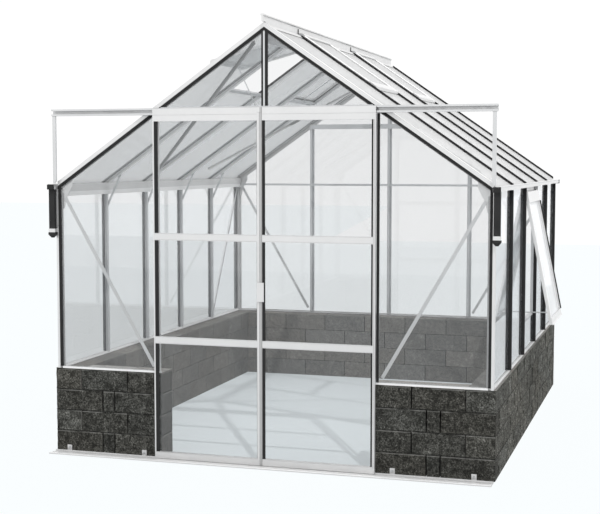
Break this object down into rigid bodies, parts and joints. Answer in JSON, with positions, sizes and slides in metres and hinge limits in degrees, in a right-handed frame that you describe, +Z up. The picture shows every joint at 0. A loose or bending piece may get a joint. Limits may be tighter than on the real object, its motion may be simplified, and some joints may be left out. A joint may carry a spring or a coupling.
{
  "type": "greenhouse",
  "caption": "Glazed gable-roofed greenhouse on a low split-face block wall, with double sliding doors on a top track, hinged ridge vents, a hinged side window, gutters and downpipes.",
  "frame": {"origin": "middle of the doorway at ground level, on the floor track's underside", "axes": "+X to the right seen from the door side, +Y from the doors to the rear gable, +Z up"},
  "size_m": [3.1744, 3.693, 2.862],
  "materials": {
    "aluminium": "satin mill",
    "rubber": "matt black",
    "black_plastic": "matt black",
    "glass": "clear float",
    "concrete": "split face, charcoal",
    "steel": "zinc plated",
    "nylon": "natural nylon"
  },
  "bodies": {
    "frame": {"downpipe_clips": "aluminium", "eave_beams": "aluminium", "floor_track": "aluminium", "frame_bolts": "steel", "gable_bars": "aluminium", "gable_glass": "glass", "gable_posts": "aluminium", "gable_seals": "rubber", "gusset_plates": "aluminium", "gutters": "aluminium", "knee_braces": "aluminium", "rafters": "aluminium", "rainwater_fittings": "black_plastic", "ridge_beam": "aluminium", "ridge_capping": "aluminium", "roof_bars": "aluminium", "roof_glass": "glass", "roof_seals": "rubber", "side_bars": "aluminium", "side_glass": "glass", "side_seals": "rubber", "stay_forks": "steel", "top_track": "aluminium", "track_clamps": "aluminium", "track_struts": "aluminium", "transoms": "aluminium", "vent_hinges": "steel", "vent_sills": "aluminium", "wall_front": "concrete", "wall_left": "concrete", "wall_rear": "concrete", "wall_right": "concrete", "wall_sills": "aluminium", "wind_braces": "aluminium"},
    "door_left": {"door_left_frame": "aluminium", "door_left_glass": "glass", "door_left_seals": "rubber", "door_handle": "aluminium"},
    "door_right": {"door_right_frame": "aluminium", "door_right_glass": "glass", "door_right_seals": "rubber"},
    "roller_left_inner": {"roller_left_inner": "nylon"},
    "roller_left_outer": {"roller_left_outer": "nylon"},
    "vent_left_front": {"vent_left_front_frame": "aluminium", "vent_left_front_glass": "glass"},
    "vent_stay_left_front": {"vent_stay_left_front": "steel"},
    "vent_left_rear": {"vent_left_rear_frame": "aluminium", "vent_left_rear_glass": "glass"},
    "vent_stay_left_rear": {"vent_stay_left_rear": "steel"},
    "roller_right_inner": {"roller_right_inner": "nylon"},
    "roller_right_outer": {"roller_right_outer": "nylon"},
    "vent_right_front": {"vent_right_front_frame": "aluminium", "vent_right_front_glass": "glass"},
    "vent_stay_right_front": {"vent_stay_right_front": "steel"},
    "vent_right_rear": {"vent_right_rear_frame": "aluminium", "vent_right_rear_glass": "glass"},
    "vent_stay_right_rear": {"vent_stay_right_rear": "steel"},
    "window": {"window_frame": "aluminium", "window_glass": "glass"},
    "window_stay": {"window_stay": "steel"}
  },
  "joints": [
    {"name": "door_left_slide", "type": "slide", "parent": "frame", "child": "door_left", "axis": [-1, 0, 0], "range_m": [0, 0.69]},
    {"name": "roller_left_inner_spin", "type": "hinge", "parent": "door_left", "child": "roller_left_inner", "pos_m": [-0.12, 0.03305, 2.2593], "axis": [0, -1, 0], "range_deg": [0, 3100]},
    {"name": "roller_left_outer_spin", "type": "hinge", "parent": "door_left", "child": "roller_left_outer", "pos_m": [-0.64, 0.03305, 2.2593], "axis": [0, -1, 0], "range_deg": [0, 3100]},
    {"name": "vent_left_front_hinge", "type": "hinge", "parent": "frame", "child": "vent_left_front", "pos_m": [-0.02454, 1.12, 2.80333], "axis": [0, 1, 0], "range_deg": [-20, 10]},
    {"name": "vent_stay_left_front_pivot", "type": "hinge", "parent": "vent_left_front", "child": "vent_stay_left_front", "pos_m": [-0.565, 1.12, 2.64087], "axis": [0, 1, 0], "range_deg": [-6, 12]},
    {"name": "vent_left_rear_hinge", "type": "hinge", "parent": "frame", "child": "vent_left_rear", "pos_m": [-0.02454, 2.52, 2.80333], "axis": [0, 1, 0], "range_deg": [0, 30]},
    {"name": "vent_stay_left_rear_pivot", "type": "hinge", "parent": "vent_left_rear", "child": "vent_stay_left_rear", "pos_m": [-0.47684, 2.52, 2.46582], "axis": [0, 1, 0], "range_deg": [0, 70]},
    {"name": "door_right_slide", "type": "slide", "parent": "frame", "child": "door_right", "axis": [1, 0, 0], "range_m": [0, 0.69]},
    {"name": "roller_right_inner_spin", "type": "hinge", "parent": "door_right", "child": "roller_right_inner", "pos_m": [0.12, 0.03305, 2.2593], "axis": [0, 1, 0], "range_deg": [0, 3100]},
    {"name": "roller_right_outer_spin", "type": "hinge", "parent": "door_right", "child": "roller_right_outer", "pos_m": [0.64, 0.03305, 2.2593], "axis": [0, 1, 0], "range_deg": [0, 3100]},
    {"name": "vent_right_front_hinge", "type": "hinge", "parent": "frame", "child": "vent_right_front", "pos_m": [0.02454, 1.12, 2.80333], "axis": [0, -1, 0], "range_deg": [0, 30]},
    {"name": "vent_stay_right_front_pivot", "type": "hinge", "parent": "vent_right_front", "child": "vent_stay_right_front", "pos_m": [0.47684, 1.12, 2.46582], "axis": [0, -1, 0], "range_deg": [0, 70]},
    {"name": "vent_right_rear_hinge", "type": "hinge", "parent": "frame", "child": "vent_right_rear", "pos_m": [0.02454, 2.52, 2.80333], "axis": [0, -1, 0], "range_deg": [0, 30]},
    {"name": "vent_stay_right_rear_pivot", "type": "hinge", "parent": "vent_right_rear", "child": "vent_stay_right_rear", "pos_m": [0.47684, 2.52, 2.46582], "axis": [0, -1, 0], "range_deg": [0, 70]},
    {"name": "window_hinge", "type": "hinge", "parent": "frame", "child": "window", "pos_m": [1.47, 1.82, 1.724], "axis": [0, -1, 0], "range_deg": [-11.5, 6.5]},
    {"name": "window_stay_pivot", "type": "hinge", "parent": "window", "child": "window_stay", "pos_m": [1.62551, 1.82, 0.83924], "axis": [0, 1, 0], "range_deg": [0, 75]}
  ],
  "couplings": [
    {"joint": "roller_left_inner_spin", "follows": "door_left_slide", "rad_per_m": 76.923},
    {"joint": "roller_left_outer_spin", "follows": "door_left_slide", "rad_per_m": 76.923},
    {"joint": "vent_stay_left_front_pivot", "follows": "vent_left_front_hinge", "ratio": -0.585},
    {"joint": "roller_right_inner_spin", "follows": "door_right_slide", "rad_per_m": 76.923},
    {"joint": "roller_right_outer_spin", "follows": "door_right_slide", "rad_per_m": 76.923}
  ]
}
